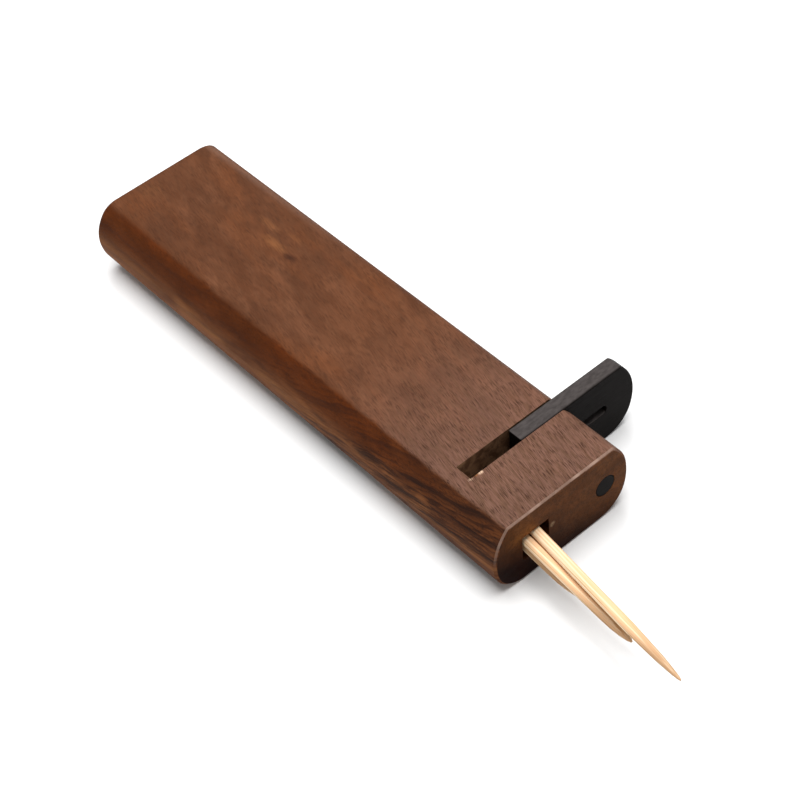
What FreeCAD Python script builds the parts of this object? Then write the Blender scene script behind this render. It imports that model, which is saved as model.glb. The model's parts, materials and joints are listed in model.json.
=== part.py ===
import FreeCAD, Part
import math
import os

os.makedirs("parts", exist_ok=True)

# Pocket toothpick case with a sliding cross gate. Lengths in millimetres.
# X runs across the case, and the gate opens towards +X.
# Y runs along the case, and the outlet face looks towards -Y.
# Z is up. The origin is the centre of the flat bottom.
# Depths are measured from the outlet face into the case.

# Picks
pick_radius = 0.95
pick_length = 65.0
slender_tip_length = 12.0
round_tip_length = 6.5
tail_bevel = 0.25
pile_gap = 0.1
wall_gap = 0.08
pick_sides = 16

# Outlines of a pick's point: share of the tip's length from its very end, share
# of the radius. The long pick has a slender point, the others a rounded one.
slender_tip_shares = (
    (0.0, 0.13), (0.04, 0.28), (0.13, 0.43), (0.24, 0.56), (0.4, 0.73), (0.6, 0.82), (1.0, 1.0)
)
round_tip_shares = ((0.0, 0.16), (0.1, 0.44), (0.32, 0.74), (0.62, 0.93), (1.0, 1.0))

# Case blank
case_height = 15.0
flat_width = 22.8
side_bulge = 3.15
near_worn_radius = 0.6
far_worn_radius = 4.0
bottom_radius = 6.0
back_bulge = 0.9
end_bevel = 0.4
end_wall = 12.8

# Outlet and cross slot
outlet_inset = 2.7
outlet_side_play = 1.7
outlet_top_play = 1.45
slot_depth = 11.4
slot_width = 3.3

# Magazine behind the slot
mouth_extra = 0.5
mouth_length = 1.8
funnel_length = 11.0
chamber_step = 1.1
chamber_width = 15.0
chamber_height = 8.5
chamber_corner_radius = 1.0
tail_play = 1.2

# Gate: how far its end stands clear of the open outlet, and how far it
# stands proud of the case when it is closed
gate_gap = 0.1
gate_clear = 5.3
gate_grip = 2.2
gate_bevel = 0.25

# Rib on the gate's back, with its track in the slot's back wall
rib_wall = 1.3
rib_inset = 3.35
rib_height = 1.9
rib_depth = 1.2
rib_play = 0.08

# Guide pin and its plug in the nose, with the groove in the gate's front
pin_inset = 2.0
pin_radius = 0.9
pin_play = 0.05
pin_engagement = 1.2
pin_end_gap = 0.3
pin_head_height = 1.2
plug_radius = 2.1
plug_length = 5.0
plug_bevel = 0.15
head_gap = 0.2
fit_gap = 0.02

# Picks standing out of the outlet: where the long one passes the slot's front
# wall, the slopes of the axes per unit of depth, and how far each tip stands out.
# The other two lie beside it at shares of the pitch of the picks.
long_pick_side_gap = 0.12
long_pick_top_gap = 0.59
long_pick_slopes = (0.126, -0.0153)
long_pick_out = 34.5
mid_pick_shares = (-0.912, -0.44)
mid_pick_slopes = (0.0465, 0.0789)
mid_pick_out = 23.3
short_pick_shares = (0.14, -0.99)
short_pick_out = 11.2
slot_standoff = 0.2

# Two stored picks lean on the pile and show their blunt ends in the slot.
front_pick_left_gap = 1.7
front_pick_right_gap = 0.35
front_pick_top_gap = 0.3

# Cutting tools run past the surface by this much.
overrun = 1.0

pick_pitch = 2 * pick_radius + pile_gap
mid_z = case_height / 2

outlet_width = 2 * pick_pitch + outlet_side_play
outlet_height = 2 * pick_pitch + outlet_top_play
outlet_left = outlet_inset - flat_width / 2
outlet_right = outlet_left + outlet_width
outlet_floor = mid_z - outlet_height / 2
outlet_top = mid_z + outlet_height / 2

slot_back_depth = slot_depth + slot_width
mouth_right = outlet_right + mouth_extra
mouth_end_depth = slot_back_depth + mouth_length
chamber_depth = mouth_end_depth + funnel_length
chamber_end_depth = chamber_depth + pick_length + tail_play
chamber_left = outlet_left - chamber_step
chamber_right = chamber_left + chamber_width
chamber_floor = mid_z - chamber_height / 2
chamber_top = mid_z + chamber_height / 2

case_length = chamber_end_depth + end_wall
front_y = -case_length / 2
case_side = flat_width / 2 + side_bulge

gate_thickness = slot_width - 2 * gate_gap
gate_left_closed = outlet_left + gate_gap
gate_left_open = outlet_right + gate_clear
gate_travel = gate_left_open - gate_left_closed
gate_length = case_side + gate_grip - gate_left_closed
gate_flat_end = gate_left_open + gate_length - side_bulge
gate_front_depth = slot_depth + gate_gap
gate_back_depth = gate_front_depth + gate_thickness
rib_left_closed = mouth_right + rib_wall
rib_left_open = rib_left_closed + gate_travel
rib_right_open = gate_flat_end - rib_inset

pin_x = flat_width / 2 - pin_inset
groove_height = 2 * (pin_radius + pin_play)
groove_depth = pin_engagement + pin_end_gap
plug_bore_depth = plug_length + pin_head_height


def point(x, depth, z):
    return FreeCAD.Vector(x, front_y + depth, z)


def block(x_span, depth_span, z_span):
    size = [high - low for low, high in (x_span, depth_span, z_span)]
    corner = point(x_span[0], depth_span[0], z_span[0])
    return Part.makeBox(size[0], size[1], size[2], corner)


def bar_along(radius, x, z, depth_span):
    length = depth_span[1] - depth_span[0]
    return Part.makeCylinder(radius, length, point(x, depth_span[0], z), FreeCAD.Vector(0, 1, 0))


def side_arc(kink_x):
    """Radius of a long side's arc, and where its centre lies at mid-height."""
    radius = (mid_z ** 2 + side_bulge ** 2) / (2 * side_bulge)
    return radius, kink_x + side_bulge - radius


def side_edges(kink_x, side, depth):
    """A long side's arc below its kink and its round bottom corner, and the flat bottom's end."""
    arc_radius, arc_x = side_arc(kink_x)
    reach = arc_radius - bottom_radius
    rise = mid_z - bottom_radius
    run = math.sqrt(reach ** 2 - rise ** 2)
    half_turn = math.atan2(run, rise) / 2
    grown = arc_radius / reach
    flat_x = arc_x + run
    bow_x = flat_x + bottom_radius * math.sin(half_turn)
    bow_drop = rise + bottom_radius * math.cos(half_turn)

    def at(x, drop):
        return point(side * x, depth, mid_z - drop)

    join = at(arc_x + run * grown, rise * grown)
    side_arc_edge = Part.Arc(at(kink_x, -mid_z), at(arc_x + arc_radius, 0), join).toShape()
    corner = Part.Arc(join, at(bow_x, bow_drop), at(flat_x, mid_z)).toShape()
    return [side_arc_edge, corner], flat_x


def case_section(depth):
    kink_x = flat_width / 2
    right, flat_x = side_edges(kink_x, 1, depth)
    left = side_edges(kink_x, -1, depth)[0]
    flats = [
        Part.makeLine(point(-kink_x, depth, case_height), point(kink_x, depth, case_height)),
        Part.makeLine(point(-flat_x, depth, 0), point(flat_x, depth, 0)),
    ]
    return Part.Face(Part.Wire(Part.__sortEdges__(right + left + flats)))


def gate_section(depth):
    right, flat_x = side_edges(gate_flat_end, 1, depth)
    top_left = point(gate_left_open, depth, case_height)
    bottom_left = point(gate_left_open, depth, 0)
    square = [
        Part.makeLine(point(gate_flat_end, depth, case_height), top_left),
        Part.makeLine(top_left, bottom_left),
        Part.makeLine(bottom_left, point(flat_x, depth, 0)),
    ]
    return Part.Face(Part.Wire(Part.__sortEdges__(right + square)))


def wear_kinks(solid, kink_x, near_radius, far_radius):
    """Round the kinks between the flat top and the sides, from one radius to another."""

    def at_kink(vertex):
        off = abs(abs(vertex.X) - kink_x) + abs(vertex.Z - case_height)
        return off < fit_gap

    kinks = [
        edge
        for edge in solid.Edges
        if all(at_kink(vertex) for vertex in edge.Vertexes) and edge.BoundBox.XLength < fit_gap
    ]
    return solid.makeFillet(near_radius, far_radius, kinks)


def bulge_back(solid):
    """Cut the far end to a shallow arc that stands out at mid-height."""
    radius = (mid_z ** 2 + back_bulge ** 2) / (2 * back_bulge)
    rise = mid_z + overrun
    inset = radius - math.sqrt(radius ** 2 - rise ** 2)
    reach = case_side + overrun

    def at(depth, z):
        return point(-reach, depth, z)

    near_corners = at(-overrun, mid_z - rise), at(-overrun, mid_z + rise)
    far_corners = at(case_length - inset, mid_z - rise), at(case_length - inset, mid_z + rise)
    outline = [
        Part.Arc(far_corners[0], at(case_length, mid_z), far_corners[1]).toShape(),
        Part.makeLine(far_corners[1], near_corners[1]),
        Part.makeLine(near_corners[1], near_corners[0]),
        Part.makeLine(near_corners[0], far_corners[0]),
    ]
    kept = Part.Face(Part.Wire(outline)).extrude(FreeCAD.Vector(2 * reach, 0, 0))
    return solid.common(kept)


def bevel_ends(solid, size, depth_span, bulge=0):
    """Bevel the outlines of the two ends that look along Y. The far end may bulge."""
    near_y = front_y + depth_span[0] + fit_gap
    far_y = front_y + depth_span[1] - 2 * bulge - fit_gap
    rims = [
        edge
        for edge in solid.Edges
        if edge.BoundBox.YMax < near_y or edge.BoundBox.YMin > far_y
    ]
    return solid.makeChamfer(size, rims)


def rectangle(x_span, z_span, depth):
    corners = [
        point(x_span[0], depth, z_span[0]),
        point(x_span[1], depth, z_span[0]),
        point(x_span[1], depth, z_span[1]),
        point(x_span[0], depth, z_span[1]),
    ]
    return Part.makePolygon(corners + corners[:1])


def round_slot(x_span, z, height, depth_span):
    """A groove cutter with round ends, its long axis along X."""
    half = height / 2
    ends = (x_span[0] + half, x_span[1] - half)
    tool = block(ends, depth_span, (z - half, z + half))
    for x in ends:
        tool = tool.fuse(bar_along(half, x, z, depth_span))
    return tool.removeSplitter()


def chamber_block():
    """The long room of the magazine, with the upright corners at its far end rounded."""
    chamber = block(
        (chamber_left, chamber_right),
        (chamber_depth, chamber_end_depth),
        (chamber_floor, chamber_top),
    )
    far_y = front_y + chamber_end_depth
    corners = [
        edge
        for edge in chamber.Edges
        if edge.BoundBox.ZLength > chamber_height / 2 and abs(edge.BoundBox.YMax - far_y) < fit_gap
    ]
    return chamber.makeFillet(chamber_corner_radius, corners)


def magazine():
    """Outlet, mouth, funnel and chamber, as one solid to be cut away."""
    outlet = block(
        (outlet_left, outlet_right), (-overrun, slot_back_depth), (outlet_floor, outlet_top)
    )
    mouth = block(
        (outlet_left, mouth_right), (slot_depth, mouth_end_depth), (outlet_floor, outlet_top)
    )
    narrow = rectangle((outlet_left, mouth_right), (outlet_floor, outlet_top), mouth_end_depth)
    wide = rectangle((chamber_left, chamber_right), (chamber_floor, chamber_top), chamber_depth)
    funnel = Part.makeLoft([narrow, wide], True, True)
    return outlet.fuse(mouth).fuse(funnel).fuse(chamber_block()).removeSplitter()


def case_solid():
    blank = case_section(0).extrude(FreeCAD.Vector(0, case_length, 0))
    blank = wear_kinks(blank, flat_width / 2, near_worn_radius, far_worn_radius)
    blank = bulge_back(blank)
    blank = bevel_ends(blank, end_bevel, (0, case_length), back_bulge)
    far_right = case_side + overrun
    slot = block(
        (outlet_left, far_right), (slot_depth, slot_back_depth), (-overrun, case_height + overrun)
    )
    track_half = rib_height / 2 + rib_play
    track = block(
        (rib_left_closed - gate_gap, far_right),
        (slot_depth, slot_back_depth + rib_depth),
        (mid_z - track_half, mid_z + track_half),
    )
    plug_bore = bar_along(plug_radius, pin_x, mid_z, (-overrun, plug_bore_depth))
    pin_bore = bar_along(pin_radius + fit_gap, pin_x, mid_z, (0, slot_depth + overrun))
    for tool in (magazine(), slot, track, plug_bore, pin_bore):
        blank = blank.cut(tool)
    return blank.removeSplitter()


def case_half(solid, z_span):
    box = solid.BoundBox
    half = block(
        (box.XMin - overrun, box.XMax + overrun), (-overrun, case_length + overrun), z_span
    )
    return solid.common(half)


def gate_solid():
    gate = gate_section(gate_front_depth).extrude(FreeCAD.Vector(0, gate_thickness, 0))
    gate = wear_kinks(gate, gate_flat_end, near_worn_radius, near_worn_radius)
    gate = bevel_ends(gate, gate_bevel, (gate_front_depth, gate_back_depth))
    half = groove_height / 2
    groove = round_slot(
        (pin_x - half, pin_x + gate_travel + half),
        mid_z,
        groove_height,
        (gate_front_depth - overrun, gate_front_depth + groove_depth),
    )
    rib = block(
        (rib_left_open, rib_right_open),
        (gate_back_depth - gate_bevel, gate_back_depth + rib_depth),
        (mid_z - rib_height / 2, mid_z + rib_height / 2),
    )
    return gate.cut(groove).fuse(rib).removeSplitter()


def guide_pin():
    head_radius = plug_radius - head_gap
    head = bar_along(head_radius, pin_x, mid_z, (plug_length, plug_bore_depth))
    pin_end = gate_front_depth + pin_engagement
    shank = bar_along(pin_radius, pin_x, mid_z, (plug_bore_depth, pin_end))
    return head.fuse(shank).removeSplitter()


def pin_plug():
    plug = bar_along(plug_radius - fit_gap, pin_x, mid_z, (0, plug_length))
    return bevel_ends(plug, plug_bevel, (0, plug_length))


def turned_pick(length, tip_length, tip_shares):
    """A round pick along +Y, its point at the origin, cut off square at its tail."""
    outline = [FreeCAD.Vector(0, 0, 0)]
    for along, out in tip_shares:
        outline.append(FreeCAD.Vector(out * pick_radius, along * tip_length, 0))
    outline.append(FreeCAD.Vector(pick_radius, length, 0))
    outline.append(FreeCAD.Vector(0, length, 0))
    face = Part.Face(Part.makePolygon(outline + outline[:1]))
    return face.revolve(FreeCAD.Vector(0, 0, 0), FreeCAD.Vector(0, 1, 0), 360)


def pick_ring(radius, along):
    corners = []
    for i in range(pick_sides):
        turn = 2 * math.pi * i / pick_sides
        corners.append(FreeCAD.Vector(radius * math.cos(turn), along, radius * math.sin(turn)))
    return Part.makePolygon(corners + corners[:1])


def shaved_pick():
    """A stored pick along +Y: many narrow flats, a rounded point and a bevelled tail."""
    rings = [
        pick_ring(out * pick_radius, along * round_tip_length) for along, out in round_tip_shares
    ]
    rings.append(pick_ring(pick_radius, pick_length - tail_bevel))
    rings.append(pick_ring(pick_radius - tail_bevel, pick_length))
    return Part.makeLoft(rings, True, True)


def laid(solid, start, end):
    """Turn a shape made along +Y to run from start towards end."""
    turn = FreeCAD.Rotation(FreeCAD.Vector(0, 1, 0), end - start)
    solid.Placement = FreeCAD.Placement(start, turn)
    return solid


def dispensed_pick(x, z, slopes, out, tip_length, tip_shares):
    """A pick whose point stands out of the outlet and whose tail ends short of the slot.

    x and z are where its axis crosses the outlet face.
    """
    inner = slot_depth - slot_standoff
    tip = point(x - slopes[0] * out, -out, z - slopes[1] * out)
    tail = point(x + slopes[0] * inner, inner, z + slopes[1] * inner)
    return laid(turned_pick((tail - tip).Length, tip_length, tip_shares), tip, tail)


def dispensed_picks():
    slender = (slender_tip_length, slender_tip_shares)
    rounded = (round_tip_length, round_tip_shares)
    long_x = outlet_right - pick_radius - long_pick_side_gap - long_pick_slopes[0] * slot_depth
    long_z = outlet_top - pick_radius - long_pick_top_gap - long_pick_slopes[1] * slot_depth
    mid_x = long_x + mid_pick_shares[0] * pick_pitch
    mid_height = long_z + mid_pick_shares[1] * pick_pitch
    short_x = mid_x + short_pick_shares[0] * pick_pitch
    short_z = mid_height + short_pick_shares[1] * pick_pitch
    places = {
        "long": (long_x, long_z, long_pick_slopes, long_pick_out, *slender),
        "mid": (mid_x, mid_height, mid_pick_slopes, mid_pick_out, *rounded),
        "short": (short_x, short_z, mid_pick_slopes, short_pick_out, *rounded),
    }
    return {"dispensed_pick_" + name: dispensed_pick(*place) for name, place in places.items()}


def funnel_share(low, high, mouth, chamber):
    """How far down the funnel a pick spanning low to high first has room."""
    below = (mouth[0] - low) / (mouth[0] - chamber[0])
    above = (high - mouth[1]) / (chamber[1] - mouth[1])
    return max(0, below, above)


def tip_depth(x, z):
    """The depth at which a stored pick's point stops against the funnel."""
    reach = pick_radius + wall_gap
    across = funnel_share(
        x - reach, x + reach, (outlet_left, mouth_right), (chamber_left, chamber_right)
    )
    upright = funnel_share(
        z - reach, z + reach, (outlet_floor, outlet_top), (chamber_floor, chamber_top)
    )
    return mouth_end_depth + funnel_length * max(across, upright)


def pile_places():
    """Where the picks lie in the chamber's first and second rows, left to right."""
    first_x = chamber_left + pick_radius + wall_gap
    first_z = chamber_floor + pick_radius + wall_gap
    row_rise = pick_pitch * math.sin(math.pi / 3)
    row_count = int((chamber_width - wall_gap) / pick_pitch)
    lower = [(first_x + i * pick_pitch, first_z) for i in range(row_count)]
    upper = [(x + pick_pitch / 2, z + row_rise) for x, z in lower[:-2]]
    return lower, upper, row_rise


def stored_picks():
    lower, upper, row_rise = pile_places()
    picks = []
    for i, (x, z) in enumerate(lower + upper):
        depth = tip_depth(x, z)
        near = point(x, depth, z)
        far = point(x, depth + pick_length, z)
        ends = (near, far) if i % 2 == 0 else (far, near)
        picks.append(laid(shaved_pick(), *ends))
    near_depth = slot_back_depth + slot_standoff
    near_z = outlet_top - pick_radius - front_pick_top_gap
    far_z = upper[0][1] + row_rise + pile_gap
    near_xs = (
        outlet_left + pick_radius + front_pick_left_gap,
        mouth_right - pick_radius - front_pick_right_gap,
    )
    far_xs = (lower[1][0], lower[2][0])
    for near_x, far_x in zip(near_xs, far_xs):
        near = point(near_x, near_depth, near_z)
        far = point(far_x, near_depth + pick_length, far_z)
        start = near + (far - near).normalize() * pick_length
        picks.append(laid(shaved_pick(), start, near))
    return picks


case = case_solid()
nodes = {
    "body_upper": case_half(case, (mid_z, case_height + overrun)),
    "body_lower": case_half(case, (-overrun, mid_z)),
    "sliding_gate": gate_solid(),
    "guide_pin": guide_pin(),
    "pin_plug": pin_plug(),
}
nodes.update(dispensed_picks())
for number, pick in enumerate(stored_picks(), start=1):
    nodes["stored_pick_%02d" % number] = pick

for name, shape in nodes.items():
    solid = shape.Solids[0]
    solid.exportStep("parts/%s.step" % name)
    print(name, len(shape.Solids), "solid,", round(solid.Volume, 1), "mm3, valid", solid.isValid())
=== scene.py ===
import json
import math

import bmesh
import bpy
from mathutils import Matrix, Vector, noise


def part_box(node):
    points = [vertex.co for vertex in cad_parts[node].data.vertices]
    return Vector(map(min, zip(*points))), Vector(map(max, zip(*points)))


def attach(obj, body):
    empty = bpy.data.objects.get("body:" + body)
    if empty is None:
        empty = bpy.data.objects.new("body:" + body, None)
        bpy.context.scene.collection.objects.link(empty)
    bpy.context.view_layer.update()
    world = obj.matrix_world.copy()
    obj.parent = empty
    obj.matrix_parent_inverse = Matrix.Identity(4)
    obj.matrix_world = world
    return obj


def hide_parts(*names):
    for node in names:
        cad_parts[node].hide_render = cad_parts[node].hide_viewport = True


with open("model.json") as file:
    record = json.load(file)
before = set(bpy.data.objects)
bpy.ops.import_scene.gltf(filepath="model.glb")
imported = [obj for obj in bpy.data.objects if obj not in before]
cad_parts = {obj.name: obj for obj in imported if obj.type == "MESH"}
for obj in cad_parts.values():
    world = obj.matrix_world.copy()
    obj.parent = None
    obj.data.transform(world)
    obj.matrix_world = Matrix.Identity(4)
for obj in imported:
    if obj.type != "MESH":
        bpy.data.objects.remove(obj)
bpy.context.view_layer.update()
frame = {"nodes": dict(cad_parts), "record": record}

bl_info = {
    "name": "Pocket Toothpick Case",
    "version": (1, 0, 0),
    "blender": (4, 5, 0),
    "location": "View3D > Sidebar > Toothpick Case",
    "description": "Dresses a walnut toothpick case with a sliding black gate",
    "category": "Object",
}

MM = 0.001

# Places on the case, in millimetres: its flat top, its outlet face, and the walls of the
# gate's slot with 0.1 to spare.
TOP = 15
FRONT = -53.25
SLOT_FRONT = -41.95
SLOT_BACK = -38.45

# Marks on the walnut: where each one is, its half lengths, both in millimetres, its
# colour and its strength.
MARKS = (
    ((3.2, 21.8, TOP), (1.3, 4.6, 3), "amber", 0.42),
    ((5.7, 26.3, TOP), (1.1, 4.0, 3), "amber", 0.26),
    ((6.6, 20.6, TOP), (0.8, 3.2, 3), "amber", 0.18),
    # Painted glow: warm amber light on the outlet face round the outlet's upper left.
    ((-8.6, FRONT, 10.6), (4.2, 1.0, 3.2), "amber", 0.45),
    ((-7.4, FRONT, 10.7), (3.0, 1.0, 1.0), "amber", 0.7),
    ((-2.25, FRONT, 8.1), (0.7, 0.5, 0.7), "wear_and_highlight", 0.9),
    # Painted light at the slot's front edge: two pale glints with an amber patch between them, where lit
    # ends of the stored picks show.
    ((-8.78, -41.95, TOP), (0.6, 0.45, 0.8), "slot_glint", 0.9),
    ((-7.6, -41.9, TOP), (0.8, 0.35, 0.8), "amber", 0.9),
    ((-6.66, -42.0, TOP), (0.75, 0.5, 0.8), "slot_glint", 0.95),
    ((-3.8, 49.0, TOP), (3.5, 4.0, 3), "amber", 0.12),
    ((2.8, 29.3, TOP), (2.2, 3.4, 3), "dark", 0.8),
    ((1.6, 44.5, TOP), (3.5, 6.0, 3), "dark", 0.55),
    ((-2.6, 23.0, TOP), (1.6, 4.5, 3), "dark", 0.4),
    ((0.5, 4.5, TOP), (5.0, 2.2, 3), "dark", 0.45),
    ((-4.0, -4.0, TOP), (3.2, 4.5, 3), "dark", 0.3),
    ((4.5, 12.5, TOP), (3.5, 5.0, 3), "dark", 0.55),
    ((2.8, 17.2, TOP), (1.3, 2.2, 3), "knot", 0.9),
)

# The dispensed picks: their radius, the rings along each one's round part, and how close
# to an end of the CAD node a vertex on that end's rim lies.
PICK_RADIUS = 0.95 * MM
PICK_RINGS = 24
RIM_DEPTH = 0.02 * MM

# Their flats: the length over which one swells and narrows, how far apart two flats lie in
# the noise, how fast the turning follows the noise beside the swelling, and the most that
# a flat turns, as a share of half its width.
SWELL_LENGTH = 9 * MM
FLAT_STRIDE = 1.7
TURN_PACE = 0.6
TURN_SHARE = 0.7

# The angle from which an outward corner is rounded, and for the shading the angles that
# stay sharp on the gate and on the picks.
EASED_ANGLE = math.radians(35)
GATE_SHARP = math.radians(40)
PICK_SHARP = math.radians(14)

# For each pick's point: its length, then its outline as shares of that length and of
# the radius.
ROUND_SHARES = ((0.0, 0.16), (0.1, 0.44), (0.32, 0.74), (0.62, 0.93), (1.0, 1.0))
SLENDER_SHARES = (
    (0.0, 0.13), (0.04, 0.28), (0.13, 0.43), (0.24, 0.56), (0.4, 0.73), (0.6, 0.82), (1.0, 1.0)
)
TIPS = {
    "dispensed_pick_long": (12.0 * MM, SLENDER_SHARES),
    "dispensed_pick_mid": (6.5 * MM, ROUND_SHARES),
    "dispensed_pick_short": (6.5 * MM, ROUND_SHARES),
}


class Value:
    """A number that varies over a surface. Arithmetic on it adds Math nodes."""

    def __init__(self, shader, socket):
        self.shader = shader
        self.socket = socket

    def math(self, operation, left, right):
        return self.shader.add("ShaderNodeMath", {"operation": operation}, {0: left, 1: right})

    def __add__(self, other):
        return self.math("ADD", self, other)

    def __radd__(self, other):
        return self.math("ADD", other, self)

    def __sub__(self, other):
        return self.math("SUBTRACT", self, other)

    def __rsub__(self, other):
        return self.math("SUBTRACT", other, self)

    def __mul__(self, other):
        return self.math("MULTIPLY", self, other)

    def __rmul__(self, other):
        return self.math("MULTIPLY", other, self)

    def __truediv__(self, other):
        return self.math("DIVIDE", self, other)

    def __mod__(self, other):
        return self.math("FLOORED_MODULO", self, other)


class Shader:
    """One material: a Principled BSDF and the nodes that feed it."""

    def __init__(self, name):
        self.material = bpy.data.materials.new(name)
        self.material.use_nodes = True
        self.tree = self.material.node_tree
        self.surface = self.tree.nodes["Principled BSDF"]

    def add(self, kind, settings, inputs, output=0):
        """Adds a node, its settings first, then its sockets, and returns one output."""
        node = self.tree.nodes.new(kind)
        for key, value in settings.items():
            setattr(node, key, value)
        for key, value in inputs.items():
            self.feed(node.inputs[key], value)
        return Value(self, node.outputs[output])

    def feed(self, socket, value):
        """Links a socket to a value that varies, or sets it to one that does not."""
        if isinstance(value, Value):
            self.tree.links.new(value.socket, socket)
        else:
            socket.default_value = value

    def set(self, **sockets):
        """Feeds the Principled BSDF's sockets, named with underscores for spaces."""
        for name, value in sockets.items():
            self.feed(self.surface.inputs[name.replace("_", " ")], value)

    def place(self):
        """Where a point of the surface is, in millimetres of the object's own frame."""
        spot = self.add("ShaderNodeTexCoord", {}, {}, "Object")
        return self.add("ShaderNodeVectorMath", {"operation": "SCALE"}, {0: spot, "Scale": 1 / MM})

    def turned(self, spot, angles=(0, 0, 0), centre=(0, 0, 0)):
        """The same spot seen from a centre, in a frame turned by the angles."""
        settings = {"vector_type": "TEXTURE"}
        return self.add(
            "ShaderNodeMapping", settings, {0: spot, "Location": centre, "Rotation": angles}
        )

    def parts(self, spot):
        """The three coordinates of a spot."""
        split = self.add("ShaderNodeSeparateXYZ", {}, {0: spot})
        node = split.socket.node
        return [Value(self, output) for output in node.outputs]

    def facing(self):
        """The three parts of the direction that the surface faces."""
        return self.parts(self.add("ShaderNodeNewGeometry", {}, {}, "True Normal"))

    def noise(self, spot, sizes, detail=2.0, roughness=0.5, distortion=0.0):
        """Soft noise from 0 to 1 whose patches are as long as sizes, in millimetres."""
        scales = tuple(1 / size for size in sizes)
        stretched = self.add("ShaderNodeMapping", {}, {0: spot, "Scale": scales})
        inputs = {
            "Vector": stretched,
            "Scale": 1.0,
            "Detail": detail,
            "Roughness": roughness,
            "Distortion": distortion,
        }
        return self.add("ShaderNodeTexNoise", {}, inputs)

    def reach(self, spot, centre, sizes):
        """How far a spot is from a centre: 1 on the ellipsoid with these half lengths."""
        settings = {"vector_type": "TEXTURE"}
        inputs = {0: spot, "Location": centre, "Scale": sizes}
        seen = self.add("ShaderNodeMapping", settings, inputs)
        return self.add("ShaderNodeVectorMath", {"operation": "LENGTH"}, {0: seen}, "Value")

    def step(self, value, start, end):
        """0 at start and beyond, 1 at end and beyond, with a smooth passage between them."""
        settings = {"interpolation_type": "SMOOTHSTEP"}
        return self.add("ShaderNodeMapRange", settings, {0: value, 1: start, 2: end})

    def within(self, value, start, end, blur=0.05):
        """1 where a value in millimetres lies between start and end, with blurred limits."""
        above = self.step(value, start - blur, start + blur)
        below = 1 - self.step(value, end - blur, end + blur)
        return above * below

    def mix(self, factor, first, second, blend="MIX"):
        """A colour between two colours."""
        settings = {"data_type": "RGBA", "blend_type": blend}
        inputs = {0: factor, 6: self.colour(first), 7: self.colour(second)}
        return self.add("ShaderNodeMix", settings, inputs, 2)

    def colour(self, value):
        """A colour as a socket takes it: three numbers get an alpha of 1."""
        return value if isinstance(value, Value) else (*value, 1.0)

    def bump(self, height, depth, strength=1.0):
        """A normal from a height of 0 to 1 that stands for depth millimetres."""
        inputs = {"Height": height, "Distance": depth * MM, "Strength": strength}
        return self.add("ShaderNodeBump", {}, inputs)


def colour_property(name, description, default):
    return bpy.props.FloatVectorProperty(
        name=name, description=description, default=default, subtype="COLOR", min=0.0, max=1.0
    )


def length_property(name, description, default):
    return bpy.props.FloatProperty(
        name=name, description=description, default=default, min=0.0, unit="LENGTH", precision=5
    )


class WalnutSettings(bpy.types.PropertyGroup):
    light: colour_property("Light wood", "Colour of the palest walnut", (0.138, 0.054, 0.026))
    dark: colour_property("Dark wood", "Colour of the darkest broad patches", (0.08, 0.029, 0.013))
    red: colour_property("Red wood", "Colour of the warm patches", (0.145, 0.047, 0.017))
    # Painted sheen: the greyer, pinker veil of reflected light on the top towards the outlet.
    greyed: colour_property("Greyed wood", "Colour towards the outlet", (0.17, 0.092, 0.068))
    olive: colour_property("Olive fibres", "Colour of the broader fibres", (0.085, 0.045, 0.024))
    streak: colour_property("Streak", "Colour of the dark lines and strokes", (0.016, 0.007, 0.005))
    pore: colour_property("Pore", "Colour inside the open pores", (0.03, 0.013, 0.008))
    amber: colour_property("Amber", "Colour of the flecks and paler marks", (0.26, 0.1, 0.035))
    knot: colour_property("Knot", "Colour of the small knot on the top", (0.03, 0.01, 0.006))
    # Painted shade under the kinks, partly the oiled wood's own darker tone.
    shoulder_shade: colour_property("Shoulder", "Tint just under the kinks", (0.74, 0.52, 0.3))
    side_low: colour_property("Low side", "Tint of the sides, low down", (1.0, 0.9, 0.72))
    # Painted bounce light in pale bands low on the sides, partly pale grain.
    low_bounce_and_grain: colour_property("Pale side", "Colour of pale bands low on the sides", (0.27, 0.12, 0.055))
    end_grain: colour_property("End grain", "Tint of the end faces, high up", (1.0, 0.97, 0.71))
    # Painted shade: the outlet face darkens towards the floor.
    end_low_shade: colour_property("End grain, low", "Tint of the end faces, low down", (0.09, 0.035, 0.015))
    # Painted light: the slot's walls are paler than any walnut so that they look lit deep in the slot.
    slot_wall: colour_property("Slot wall", "Colour inside the gate's slot", (0.42, 0.24, 0.13))
    unlit: colour_property("Inside", "Tint of the walls inside the case", (0.3, 0.25, 0.22))
    # Painted glints: pale spots at the slot's front edge.
    slot_glint: colour_property("Chip", "Colour of fresh wood where an edge is chipped", (0.72, 0.5, 0.35))
    # Worn wood on the spot beside the outlet; painted highlights on the outlet face's bevel and on the
    # right kink.
    wear_and_highlight: colour_property("Worn edge", "Colour of wood that is rubbed bare", (0.33, 0.22, 0.17))
    grain_turn: bpy.props.FloatProperty(
        name="Grain turn",
        description="Angle between the grain and the length of the case",
        default=math.radians(-12),
        subtype="ANGLE",
    )
    ring_gap: bpy.props.FloatProperty(
        name="Ring gap", description="Height between year rings, in millimetres", default=2.7, min=0.2
    )
    ring_rise: bpy.props.FloatProperty(
        name="Ring rise",
        description="How much the year rings rise towards the outlet, per length",
        default=0.077,
    )
    band_rise: bpy.props.FloatProperty(
        name="Band rise",
        description="How much the band of strokes on the sides rises towards the outlet, per length",
        default=0.2,
    )
    stroke_tilt: bpy.props.FloatProperty(
        name="Stroke tilt",
        description="Angle between the strokes on the sides and the length of the case",
        default=math.radians(-12),
        subtype="ANGLE",
    )


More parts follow.
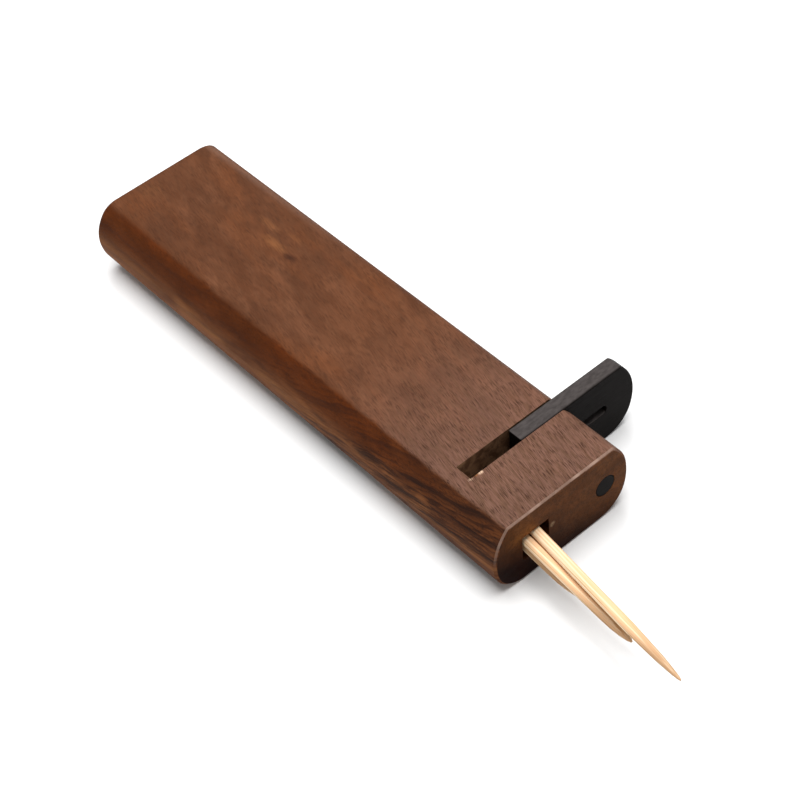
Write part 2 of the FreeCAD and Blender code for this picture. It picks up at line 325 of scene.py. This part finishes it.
class BlackWoodSettings(bpy.types.PropertyGroup):
    base: colour_property("Black wood", "Colour of the gate and the plug", (0.0045, 0.0032, 0.0028))
    fibre: colour_property("Fibre", "Colour of the paler fibres", (0.009, 0.0075, 0.007))
    # Painted sheen: the black wood's upward faces are lighter and greyer, where the lamps reflect.
    top_sheen: colour_property("Rubbed top", "Colour of the top, greyed by use", (0.059, 0.051, 0.049))
    edge_ease: length_property("Eased edge", "Width of the rounding on the gate's edges", 0.12 * MM)


class BambooSettings(bpy.types.PropertyGroup):
    pale: colour_property("Pale bamboo", "Colour of the palest streaks", (0.87, 0.68, 0.46))
    peach: colour_property("Bamboo", "Colour of most of a pick", (0.76, 0.47, 0.26))
    tan: colour_property("Tan bamboo", "Colour of the fibres", (0.56, 0.31, 0.125))
    point: colour_property("Point", "Tint of a pick's point", (0.64, 0.6, 0.56))
    flats: bpy.props.IntProperty(
        name="Flats", description="Narrow flats round a pick", default=15, min=8, max=48
    )
    unevenness: bpy.props.FloatProperty(
        name="Unevenness",
        description="How far the flats stand in and out, as a share of the radius",
        default=0.02,
        min=0.0,
        max=0.2,
        subtype="FACTOR",
    )


class SteelSettings(bpy.types.PropertyGroup):
    base: colour_property("Steel", "Colour of the guide pin", (0.56, 0.56, 0.58))


class StageSettings(bpy.types.PropertyGroup):
    camera_place: bpy.props.FloatVectorProperty(
        name="Camera place",
        description="Where the camera stands",
        default=(-0.132765, -0.196056, 0.253126),
        subtype="TRANSLATION",
        unit="LENGTH",
    )
    camera_turn: bpy.props.FloatVectorProperty(
        name="Camera turn",
        description="The camera's angles",
        default=tuple(math.radians(angle) for angle in (41.99052, 4.64171, -41.23094)),
        subtype="EULER",
        unit="ROTATION",
    )
    lens: bpy.props.FloatProperty(
        name="Lens", description="Focal length in millimetres", default=89.4, min=1.0
    )
    floor: colour_property("Floor", "Colour of the floor", (0.74, 0.74, 0.74))
    floor_size: length_property("Floor size", "Length of the floor's sides", 6.0)
    key_power: bpy.props.FloatProperty(
        name="Key light", description="Power of the soft box behind", default=4.5, unit="POWER"
    )
    top_power: bpy.props.FloatProperty(
        name="Top light", description="Power of the soft box above", default=14.5, unit="POWER"
    )
    sky: bpy.props.FloatProperty(
        name="Sky", description="Strength of the even light all round", default=0.42, min=0.0
    )


class Walnut:
    """Oiled walnut. Each step lays one more tint over the colour so far."""

    def __init__(self, look):
        self.look = look
        self.shader = Shader("oiled_walnut")
        self.find_place()
        self.find_noises()
        self.find_regions()
        self.add_patches()
        self.add_marks()
        self.add_fibres()
        self.tint_sides()
        self.add_streaks()
        self.tint_ends()
        self.tint_slot()
        self.highlight_edges()
        self.darken_inside()
        self.set_surface()

    def lay(self, factor, tint, blend="MIX"):
        """Lays a tint over the colour so far, as strongly as the factor says."""
        self.colour = self.shader.mix(factor, self.colour, tint, blend)

    def find_place(self):
        """Where a point lies on the case, and in the frame of the grain. Ahead is -Y."""
        self.place = self.shader.place()
        self.grain = self.shader.turned(self.place, (0, 0, self.look.grain_turn))
        self.across, self.along, self.up = self.shader.parts(self.place)
        self.ahead = 0 - self.along

    def find_noises(self):
        """The noises that more than one tint reads."""
        shader, grain = self.shader, self.grain
        self.warm = shader.noise(grain, (8, 26, 5), detail=2, distortion=0.9)
        self.cloud = shader.noise(grain, (1.6, 4.5, 1.6), detail=3, distortion=0.5)
        self.ripple = shader.noise(self.place, (3, 7, 3), detail=2)
        self.fibre = shader.noise(grain, (0.16, 5.0, 0.16), detail=3, roughness=0.7)
        pores = shader.step(shader.noise(grain, (0.12, 1.9, 0.12), detail=2), 0.5, 0.62)
        crowd = shader.step(shader.noise(self.place, (1.2, 2.5, 1.2), detail=2), 0.35, 0.6)
        self.pores = pores * (0.5 + crowd * 0.7)

    def find_regions(self):
        """Masks of the end faces and their bevels, the nose, the flat top and the sides."""
        shader = self.shader
        facing = shader.facing()[1]
        square = facing * facing
        self.end = shader.step(square, 0.7, 0.9)
        self.bevel = shader.step(square, 0.25, 0.4) * (1 - self.end)
        self.nose = shader.step(self.ahead, 5, 50)
        # The top's look ends raggedly at the left kink and runs on over the right one.
        right = shader.step(self.across, 5, 6)
        ragged = (self.cloud - 0.5) * shader.step(0 - self.across, 10.0, 11.3) * 0.7
        height = self.up + right * 2.0 + ragged
        self.flat = shader.step(height, TOP - 0.6, TOP - 0.05) * (1 - self.end)
        self.sides = (1 - self.flat) * (1 - self.end)

    def add_patches(self):
        """Broad dark and light patches, warm and cloudy ones, and a painted sheen, greyer, on the top at
        the nose.
        """
        shader, look = self.shader, self.look
        broad = shader.noise(self.grain, (7, 20, 7), detail=4, distortion=0.9)
        self.colour = shader.mix(shader.step(broad, 0.3, 0.7), look.dark, look.light)
        self.lay(shader.step(self.warm, 0.45, 0.75) * 0.6, look.red)
        self.lay(shader.step(self.cloud, 0.4, 0.7) * 0.6, look.dark)
        # Painted sheen on the flat top towards the outlet.
        self.lay(self.nose * self.flat * 0.75, look.greyed)

    def add_marks(self):
        """The small knot with its amber flecks and the cloudy spots round it, a worn spot beside the
        outlet, a painted glow on the outlet face, and painted glints at the slot's front edge.
        """
        shader = self.shader
        wobble = shader.noise(self.place, (2.5, 4, 2.5), detail=3) * 0.8 - 0.4
        fine = shader.noise(self.place, (0.5, 1.6, 0.5), detail=2) * 0.7 - 0.35
        for centre, sizes, tint, strength in MARKS:
            reach = shader.reach(self.place, centre, sizes) + wobble + fine
            self.lay((1 - shader.step(reach, 0.1, 1)) * strength, getattr(self.look, tint))

    def add_fibres(self):
        """Broad and fine fibres, and the open pores, all stronger towards the outlet."""
        shader, look = self.shader, self.look
        broad = shader.step(shader.noise(self.grain, (0.33, 2.6, 0.33), detail=2), 0.42, 0.62)
        self.lay(broad * (0.12 + self.nose * 0.38) * self.flat, look.olive)
        self.lay(shader.step(self.fibre, 0.35, 0.75) * 0.4, look.dark)
        self.lay(self.pores * (0.3 + self.nose * 0.35) * (1 - self.end * 0.6), look.pore)

    def tint_sides(self):
        """Pale bands low on the sides, partly grain and partly painted bounce light, and painted shade
        under the kinks, partly the oiled wood's darker tone.
        """
        shader, look = self.shader, self.look
        lift = shader.step(self.ahead, 30, 48) * 3
        # Painted bounce light low on the sides, in patches that follow the warm grain.
        low = shader.step(self.up - lift, 12.0, 8.5) * self.sides
        self.lay(low * shader.step(self.warm, 0.3, 0.65) * 0.6, look.low_bounce_and_grain)
        # Painted shade on the shoulders under the kinks, fading towards the outlet.
        fade = 1 - shader.step(self.ahead, 25, 48) * 0.85
        shoulder_shade = shader.step(self.up, 8.0, 12.0) * fade
        self.lay(self.sides, shader.mix(shoulder_shade, look.side_low, look.shoulder_shade), "MULTIPLY")

    def ring_line(self, rings, start, full, fall):
        """A dark line in each ring, between these shares of the ring's height."""
        share = rings % 1.0
        return self.shader.step(share, start, full) * (1 - self.shader.step(share, fall, 1.0))

    def add_streaks(self):
        """The rings' dark lines and short strokes, in a band that rises to the outlet."""
        shader, look, ahead = self.shader, self.look, self.ahead
        climb = self.up + self.along * look.band_rise + self.ripple * 3
        band = shader.step(climb, -2.0, 1.0) * (1 - shader.step(climb, 6.0, 9.0))

        wobble = shader.noise(self.place, (9, 30, 9), detail=2)
        height = self.up + self.along * look.ring_rise + wobble * 4.6 + self.ripple * 1.3
        rings = (height - shader.step(ahead, -10, 60) * 7) / look.ring_gap
        self.line = self.ring_line(rings, 0.45, 0.9, 0.93)
        thin = self.ring_line(rings * 3.7 + self.cloud, 0.3, 0.8, 0.85)
        strength = shader.step(shader.noise(self.place, (6, 16, 2.4), detail=2), 0.3, 0.52)
        streaked = self.sides * (0.3 + shader.step(ahead, -15, 20) * 0.6) * (0.45 + band * 0.55)
        self.lay(self.line * strength * (0.1 + streaked * 0.75), look.streak)
        self.lay(thin * strength * streaked * 0.5, look.streak)

        tilted = shader.turned(self.place, (look.stroke_tilt, 0, 0))
        stroke = shader.noise(tilted, (0.8, 5.5, 0.5), detail=3, roughness=0.6, distortion=0.3)
        clump = shader.step(shader.noise(self.place, (5, 13, 3.2), detail=2), 0.42, 0.56)
        stroked = self.sides * (0.25 + shader.step(ahead, -20, 15) * 0.75)
        stroked = stroked * (0.08 + clump * 0.26 + band * 0.34)
        self.lay(shader.step(stroke, 0.49, 0.6) * stroked, look.streak)

    def tint_ends(self):
        """Speckled end grain, and painted shade that darkens the outlet face low down."""
        shader, look = self.shader, self.look
        speckle = shader.noise(self.place, (0.45, 0.45, 0.6), detail=3, roughness=0.7)
        self.lay(self.end * shader.step(speckle, 0.45, 0.65) * 0.4, look.pore)
        # Painted shade: darker low down and to the left on the outlet face; the back end keeps the high
        # tint.
        height = shader.step(self.up + self.across * 0.35, 0.0, 10.0)
        tint = shader.mix(height, look.end_low_shade, look.end_grain)
        tint = shader.mix(shader.step(self.along, -1, 1), tint, look.end_grain)
        self.lay(self.end, tint, "MULTIPLY")

    def tint_slot(self):
        """Rough walls in the gate's slot, paler than the walnut as painted light, and painted shade
        towards the open gate.
        """
        shader, look = self.shader, self.look
        slot_shading = shader.mix(shader.step(self.cloud, 0.35, 0.65) * 0.7, look.slot_wall, look.dark)
        # Painted shade towards the gate, where its shadow falls in the slot.
        slot_shading = shader.mix(shader.step(self.across, -10, -2) * 0.55, slot_shading, look.streak)
        self.lay(shader.within(self.along, SLOT_FRONT, SLOT_BACK) * self.end * 0.85, slot_shading)

    def highlight_edges(self):
        """Painted highlights on the bevel round the outlet face and faintly on the right kink."""
        shader, look = self.shader, self.look
        # Painted highlight along the outlet face's bevel, stronger high up.
        rim = self.bevel * shader.within(self.along, FRONT + 0.1, FRONT + 0.5)
        rim = rim * shader.step(self.up, 6.5, 13.5) * (1 - shader.step(self.across, 10.5, 12.5))
        self.lay(rim * (0.45 + shader.step(self.ripple, 0.35, 0.65) * 0.55), look.wear_and_highlight)
        # Painted highlight along the right kink, on the back part of the case.
        kink = shader.step(self.across, 9.8, 11.6) * (1 - shader.step(self.across, 11.6, 12.6))
        kink = kink * shader.step(self.up, 13, 14) * shader.step(self.along, 5, 40)
        self.lay(kink * (1 - self.end) * 0.13, look.wear_and_highlight)

    def darken_inside(self):
        """Painted shade: darker walls in the magazine and the outlet, less than 9.5 from the middle."""
        shader = self.shader
        inside = (1 - shader.step(self.across * self.across, 90, 96)) * (1 - self.end)
        inside = inside * shader.within(self.up, 0.4, TOP - 0.6)
        self.lay(inside, self.look.unlit, "MULTIPLY")

    def set_surface(self):
        """Dull oiled wood, a little rougher along the fibres, with sunken pores."""
        self.shader.set(
            Base_Color=self.colour,
            Roughness=0.5 + self.fibre * 0.16 - self.line * 0.05,
            Normal=self.shader.bump(self.fibre * 0.35 - self.pores * 0.65, 0.05, 0.7),
            IOR=1.46,
            Specular_IOR_Level=0.03,
        )


def black_wood_material(look):
    """Satin black wood with fine straight fibres across the case, and painted sheen on the faces that
    look up.
    """
    shader = Shader("satin_black_wood")
    spot = shader.place()
    fibre = shader.noise(spot, (6.0, 0.3, 0.3), detail=3, roughness=0.6)
    cloud = shader.noise(spot, (1.4, 0.6, 0.6), detail=3, roughness=0.6)
    pores = shader.step(shader.noise(spot, (2.2, 0.2, 0.2), detail=1), 0.6, 0.7)
    # Painted sheen on the faces that look up, patchy with the cloud.
    top_sheen = shader.step(shader.facing()[2], 0.5, 0.95)
    colour = shader.mix(shader.step(fibre, 0.35, 0.8) * 0.6, look.base, look.fibre)
    colour = shader.mix(top_sheen * (0.6 + shader.step(cloud, 0.3, 0.7) * 0.4), colour, look.top_sheen)
    shader.set(
        Base_Color=colour,
        Roughness=0.38 + cloud * 0.14 + pores * 0.1,
        Normal=shader.bump(fibre * 0.4 - pores * 0.6, 0.03, 0.5),
        IOR=1.5,
        Specular_IOR_Level=0.02,
    )
    return shader.material


def bamboo_material(name, look, turn, centre):
    """Raw bamboo with fibres along the pick, whose +Y is turned by the angles."""
    shader = Shader(name)
    spot = shader.turned(shader.place(), turn, centre)
    streak = shader.noise(spot, (0.5, 34.0, 0.5), detail=2)
    fibre = shader.noise(spot, (0.17, 11.0, 0.17), detail=3, roughness=0.65)
    stripe = shader.noise(spot, (0.36, 26.0, 0.36), detail=1)
    colour = shader.mix(shader.step(streak, 0.43, 0.6), look.peach, look.pale)
    colour = shader.mix(shader.step(stripe, 0.52, 0.64) * 0.85, colour, look.tan)
    colour = shader.mix(shader.step(fibre, 0.5, 0.78) * 0.4, colour, look.tan)
    near_point = 1 - shader.step(shader.parts(spot)[1], 4.0, 15.0)
    colour = shader.mix(near_point, colour, look.point, "MULTIPLY")
    shader.set(
        Base_Color=colour,
        Roughness=0.55 + fibre * 0.15,
        Normal=shader.bump(fibre, 0.04, 0.6),
        Specular_IOR_Level=0.3,
    )
    return shader.material


def steel_material(look):
    """Drawn steel wire with faint marks round it."""
    shader = Shader("drawn_steel")
    marks = shader.noise(shader.place(), (2.0, 0.12, 2.0), detail=2)
    shader.set(
        Base_Color=shader.colour(look.base),
        Metallic=1.0,
        Roughness=0.28 + marks * 0.15,
        Normal=shader.bump(marks, 0.004, 0.4),
    )
    return shader.material


def dress(node_name, material):
    """Gives a CAD node a material in all of its slots."""
    slots = frame["nodes"][node_name].data.materials
    slots.clear()
    slots.append(material)


def new_piece(name, bm, material, body, sharp_angle):
    """Makes a shaded object from a bmesh that lies where it belongs, riding on a body."""
    mesh = bpy.data.meshes.new(name)
    bm.to_mesh(mesh)
    bm.free()
    mesh.polygons.foreach_set("use_smooth", [True] * len(mesh.polygons))
    mesh.set_sharp_from_angle(angle=sharp_angle)
    mesh.materials.append(material)
    piece = bpy.data.objects.new(name, mesh)
    bpy.context.scene.collection.objects.link(piece)
    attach(piece, body)
    return piece


def weigh_normals(piece):
    """Keeps the shading of wide flat faces level beside narrow rounded edges."""
    modifier = piece.modifiers.new("level_shading", "WEIGHTED_NORMAL")
    modifier.keep_sharp = True


def flat_faced(node_name):
    """A bmesh of a CAD node, its doubled vertices merged and its flat areas dissolved."""
    bm = bmesh.new()
    bm.from_mesh(frame["nodes"][node_name].data)
    bmesh.ops.remove_doubles(bm, verts=bm.verts, dist=0.001 * MM)
    bmesh.ops.dissolve_limit(
        bm,
        angle_limit=math.radians(0.5),
        use_dissolve_boundaries=False,
        verts=bm.verts,
        edges=bm.edges,
        delimit={"NORMAL"},
    )
    return bm


def ease_edges(bm, width):
    """Rounds the outward corners that are sharper than the eased angle."""
    cut = [
        edge
        for edge in bm.edges
        if edge.is_manifold and edge.is_convex and edge.calc_face_angle(0) > EASED_ANGLE
    ]
    bmesh.ops.bevel(
        bm,
        geom=cut,
        offset=width,
        offset_type="OFFSET",
        segments=3,
        profile=0.5,
        affect="EDGES",
        material=-1,
        clamp_overlap=True,
    )


class TOOTHPICKCASE_OT_walnut_case(bpy.types.Operator):
    """Dresses the two halves of the walnut case"""

    bl_idname = "toothpick_case.walnut_case"
    bl_label = "Walnut Case"

    def execute(self, context):
        walnut = Walnut(context.scene.toothpick_case_walnut)
        for name in ("body_upper", "body_lower"):
            dress(name, walnut.shader.material)
        return {"FINISHED"}


class TOOTHPICKCASE_OT_black_gate(bpy.types.Operator):
    """Makes the sliding gate of black wood, with eased edges, and dresses the plug and the pin"""

    bl_idname = "toothpick_case.black_gate"
    bl_label = "Black Gate, Plug and Pin"

    def execute(self, context):
        look = context.scene.toothpick_case_black_wood
        material = black_wood_material(look)
        bm = flat_faced("sliding_gate")
        ease_edges(bm, look.edge_ease)
        gate = new_piece("eased_gate", bm, material, "gate", GATE_SHARP)
        weigh_normals(gate)
        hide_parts("sliding_gate")
        dress("pin_plug", material)
        dress("guide_pin", steel_material(context.scene.toothpick_case_steel))
        return {"FINISHED"}


def slide_axis(name):
    """The body of a dispensed pick, and the direction in which its joint slides it out."""
    bodies = frame["record"]["behaviour"]["bodies"]
    body = next(body for body, names in bodies.items() if name in names)
    joints = frame["record"]["behaviour"]["joints"]
    return body, Vector(next(joint["axis"] for joint in joints if joint["child"] == body))


def pick_ends(name, axis):
    """The middles of a pick's point and of its tail, from its CAD node."""
    spots = [vertex.co for vertex in frame["nodes"][name].data.vertices]
    reaches = [axis.dot(spot) for spot in spots]
    ends = []
    for end in (max(reaches), min(reaches)):
        rim = [spot for spot, reach in zip(spots, reaches) if abs(reach - end) < RIM_DEPTH]
        low = Vector(map(min, zip(*rim)))
        high = Vector(map(max, zip(*rim)))
        ends.append((low + high) / 2)
    return ends


def grown(bm, ring, rise, spread):
    """Extrudes a ring of edges by rise along Z, scales it, and returns the new ring."""
    made = bmesh.ops.extrude_edge_only(bm, edges=ring)["geom"]
    verts = [item for item in made if isinstance(item, bmesh.types.BMVert)]
    bmesh.ops.translate(bm, vec=(0, 0, rise), verts=verts)
    bmesh.ops.scale(bm, vec=(spread, spread, 1), verts=verts)
    edges = [item for item in made if isinstance(item, bmesh.types.BMEdge)]
    return [edge for edge in edges if all(vert in verts for vert in edge.verts)]


def whittled_pick(radius, length, tip_length, tip_shares, look, seed):
    """A pick along +Z from the middle of its point: narrow flats, uneven along and around."""
    outline = [(along * tip_length, out * radius) for along, out in tip_shares]
    gap = (length - tip_length) / PICK_RINGS
    outline += [(tip_length + gap * i, radius) for i in range(1, PICK_RINGS + 1)]
    bm = bmesh.new()
    bmesh.ops.create_circle(bm, cap_ends=True, radius=outline[0][1], segments=look.flats)
    ring = list(bm.edges)
    for (low, before), (high, after) in zip(outline, outline[1:]):
        ring = grown(bm, ring, high - low, after / before)
    bmesh.ops.edgeloop_fill(bm, edges=ring)
    for vert in bm.verts:
        x, y, along = vert.co
        flat = round(math.atan2(y, x) / math.tau * look.flats) % look.flats
        spot = Vector((flat * FLAT_STRIDE, along / SWELL_LENGTH, seed))
        narrow = 1 - look.unevenness * (0.5 + 0.5 * noise.noise(spot))
        turn = noise.noise(spot * TURN_PACE) * math.pi / look.flats * TURN_SHARE
        vert.co = Matrix.Rotation(turn, 4, "Z") @ Vector((x * narrow, y * narrow, along))
    bmesh.ops.recalc_face_normals(bm, faces=bm.faces)
    return bm


class TOOTHPICKCASE_OT_picks(bpy.types.Operator):
    """Makes the picks that stand out of the outlet and dresses the stored ones"""

    bl_idname = "toothpick_case.picks"
    bl_label = "Bamboo Picks"

    def execute(self, context):
        look = context.scene.toothpick_case_bamboo
        for seed, (name, tip) in enumerate(TIPS.items()):
            self.add_pick(look, name, tip, seed)
        for name in frame["nodes"]:
            if name.startswith("stored_pick_"):
                low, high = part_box(name)
                middle = (low + high) / 2 / MM
                dress(name, bamboo_material("bamboo_" + name, look, (0, 0, 0), middle))
        return {"FINISHED"}

    def add_pick(self, look, name, tip, seed):
        """Makes one dispensed pick at its CAD node's place, from its point inwards."""
        body, axis = slide_axis(name)
        point, tail = pick_ends(name, axis)
        inwards = -axis
        turn = inwards.to_track_quat("Y", "Z").to_euler()
        material = bamboo_material("bamboo_" + name, look, tuple(turn), point / MM)
        bm = whittled_pick(PICK_RADIUS, (tail - point).length, *tip, look, seed)
        placed = Matrix.LocRotScale(point, inwards.to_track_quat("Z", "Y"), None)
        bmesh.ops.transform(bm, matrix=placed, verts=bm.verts)
        piece = new_piece("whittled_" + name, bm, material, body, PICK_SHARP)
        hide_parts(name)


def aim(place, target):
    """A matrix that stands at place and looks at target."""
    turn = (target - place).to_track_quat("-Z", "Y")
    return Matrix.LocRotScale(place, turn, None)


def soft_box(name, angles, distance, size, power):
    """A square area light aimed at the case, at these degrees from +Y to +X and upwards."""
    around, above = map(math.radians, angles)
    direction = Vector(
        (math.sin(around) * math.cos(above), math.cos(around) * math.cos(above), math.sin(above))
    )
    light = bpy.data.lights.new(name, "AREA")
    light.shape = "SQUARE"
    light.size = size
    light.energy = power
    lamp = bpy.data.objects.new(name, light)
    lamp.matrix_world = aim(direction * distance, Vector((0, 0, 0)))
    bpy.context.scene.collection.objects.link(lamp)


class TOOTHPICKCASE_OT_stage(bpy.types.Operator):
    """Sets up the pale floor, the soft lights and the camera"""

    bl_idname = "toothpick_case.stage"
    bl_label = "Stage"

    def execute(self, context):
        look = context.scene.toothpick_case_stage
        self.add_floor(look)
        self.add_sky(context.scene, look)
        soft_box("key_light", (36, 48), distance=1.3, size=0.5, power=look.key_power)
        soft_box("top_light", (0, 90), distance=1.0, size=0.7, power=look.top_power)
        self.add_camera(context.scene, look)
        return {"FINISHED"}

    def add_floor(self, look):
        shader = Shader("pale_floor")
        shader.set(Base_Color=shader.colour(look.floor), Roughness=0.9)
        bm = bmesh.new()
        bmesh.ops.create_grid(bm, x_segments=1, y_segments=1, size=look.floor_size / 2)
        mesh = bpy.data.meshes.new("floor")
        bm.to_mesh(mesh)
        bm.free()
        mesh.materials.append(shader.material)
        floor = bpy.data.objects.new("floor", mesh)
        bpy.context.scene.collection.objects.link(floor)

    def add_sky(self, scene, look):
        world = bpy.data.worlds.new("studio")
        world.use_nodes = True
        background = world.node_tree.nodes["Background"]
        background.inputs["Color"].default_value = (1.0, 1.0, 1.0, 1.0)
        background.inputs["Strength"].default_value = look.sky
        scene.world = world

    def add_camera(self, scene, look):
        camera = bpy.data.cameras.new("camera")
        camera.lens = look.lens
        camera.sensor_width = 36
        camera.clip_start = 0.01
        eye = bpy.data.objects.new("camera", camera)
        eye.location = look.camera_place
        eye.rotation_euler = look.camera_turn
        scene.collection.objects.link(eye)
        scene.camera = eye
        scene.view_settings.view_transform = "Standard"


class TOOTHPICKCASE_PT_panel(bpy.types.Panel):
    """Lists the pieces of the case and their settings"""

    bl_idname = "TOOTHPICKCASE_PT_panel"
    bl_label = "Toothpick Case"
    bl_space_type = "VIEW_3D"
    bl_region_type = "UI"
    bl_category = "Toothpick Case"

    def draw(self, context):
        for operator in OPERATORS:
            self.layout.operator(operator.bl_idname)
        for key, settings in SETTINGS.items():
            box = self.layout.box()
            group = getattr(context.scene, key)
            for name in settings.__annotations__:
                box.prop(group, name)


OPERATORS = (
    TOOTHPICKCASE_OT_walnut_case,
    TOOTHPICKCASE_OT_black_gate,
    TOOTHPICKCASE_OT_picks,
    TOOTHPICKCASE_OT_stage,
)

SETTINGS = {
    "toothpick_case_walnut": WalnutSettings,
    "toothpick_case_black_wood": BlackWoodSettings,
    "toothpick_case_bamboo": BambooSettings,
    "toothpick_case_steel": SteelSettings,
    "toothpick_case_stage": StageSettings,
}


def register():
    for settings in SETTINGS.values():
        bpy.utils.register_class(settings)
    for key, settings in SETTINGS.items():
        setattr(bpy.types.Scene, key, bpy.props.PointerProperty(type=settings))
    for operator in OPERATORS:
        bpy.utils.register_class(operator)
    bpy.utils.register_class(TOOTHPICKCASE_PT_panel)


def unregister():
    bpy.utils.unregister_class(TOOTHPICKCASE_PT_panel)
    for operator in reversed(OPERATORS):
        bpy.utils.unregister_class(operator)
    for key in SETTINGS:
        delattr(bpy.types.Scene, key)
    for settings in reversed(SETTINGS.values()):
        bpy.utils.unregister_class(settings)


def main():
    register()
    bpy.ops.toothpick_case.walnut_case()
    bpy.ops.toothpick_case.black_gate()
    bpy.ops.toothpick_case.picks()
    bpy.ops.toothpick_case.stage()


if __name__ == "__main__":
    main()
